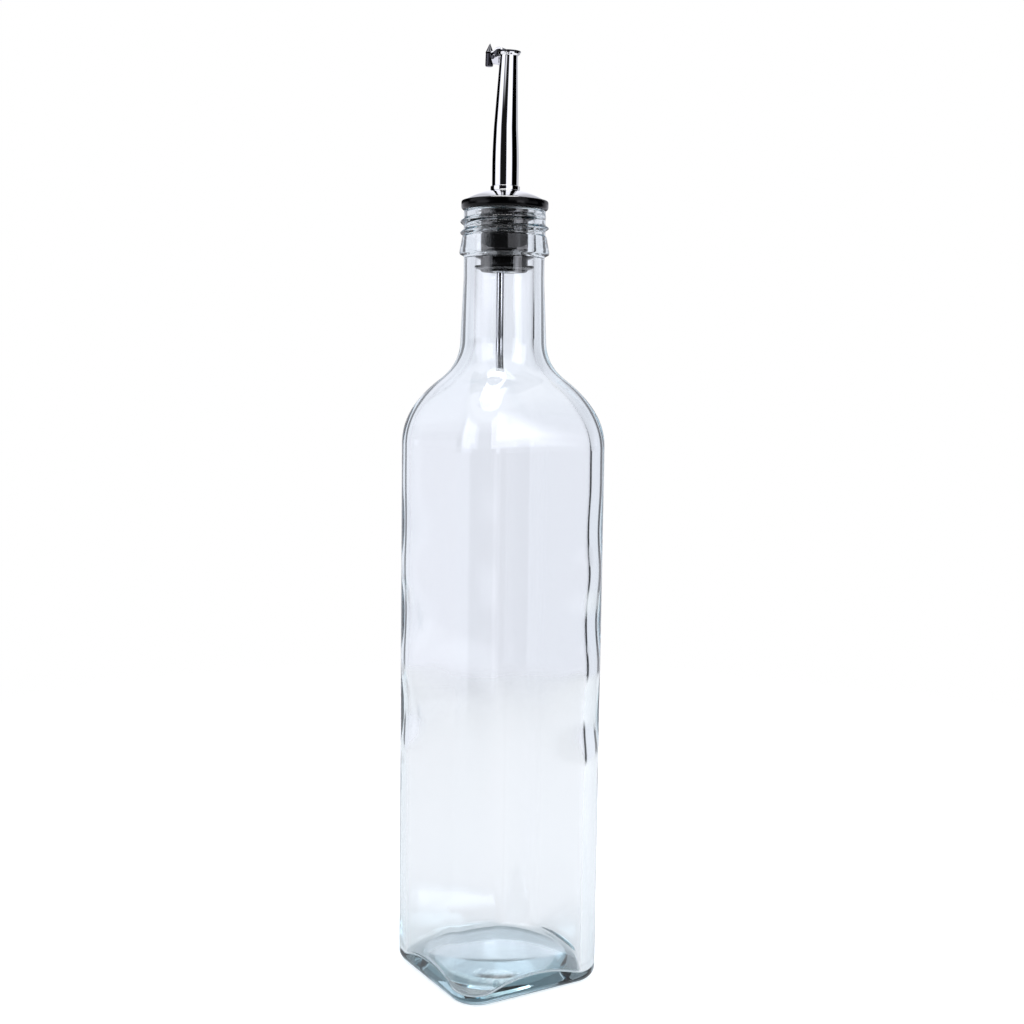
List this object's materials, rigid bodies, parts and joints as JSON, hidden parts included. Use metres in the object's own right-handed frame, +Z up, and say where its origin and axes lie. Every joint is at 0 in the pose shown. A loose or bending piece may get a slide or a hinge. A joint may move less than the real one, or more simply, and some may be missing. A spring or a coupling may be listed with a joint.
{
  "type": "glass oil bottle with pourer",
  "caption": "Square clear-glass oil bottle with a threaded neck, a finned rubber stopper, a tapered, slightly bent steel pouring spout with breather tube and a weighted flap over the spout's mouth.",
  "frame": {"origin": "middle of the base, on the plane the bottle stands on", "axes": "+Z up along the bottle's axis, X and Y square to the flat sides"},
  "size_m": [0.057, 0.057, 0.3252],
  "materials": {
    "clear_glass": "clear moulded soda-lime glass, faint blue-green in thick sections",
    "black_rubber": "satin black moulded rubber",
    "polished_steel": "mirror-polished stainless steel"
  },
  "bodies": {
    "bottle": {"bottle": "clear_glass"},
    "stopper": {"stopper": "black_rubber"},
    "spout": {"spout": "polished_steel", "collar_plate": "polished_steel", "breather": "polished_steel", "tube_holder": "polished_steel", "bracket": "polished_steel", "hinge_pin": "polished_steel"},
    "flap": {"flap": "polished_steel", "flap_weight": "polished_steel"}
  },
  "joints": [
    {"name": "stopper_lift", "type": "slide", "parent": "bottle", "child": "stopper", "axis": [0, 0, 1], "range_m": [0, 0.08]},
    {"name": "spout_turn", "type": "hinge", "parent": "stopper", "child": "spout", "pos_m": [0, 0, 0.272], "axis": [0, 0, 1], "continuous": true},
    {"name": "flap_hinge", "type": "hinge", "parent": "spout", "child": "flap", "pos_m": [-0.00161, 0.00408, 0.31979], "axis": [-0.9304, -0.3665, 0], "range_deg": [0, 55]}
  ]
}
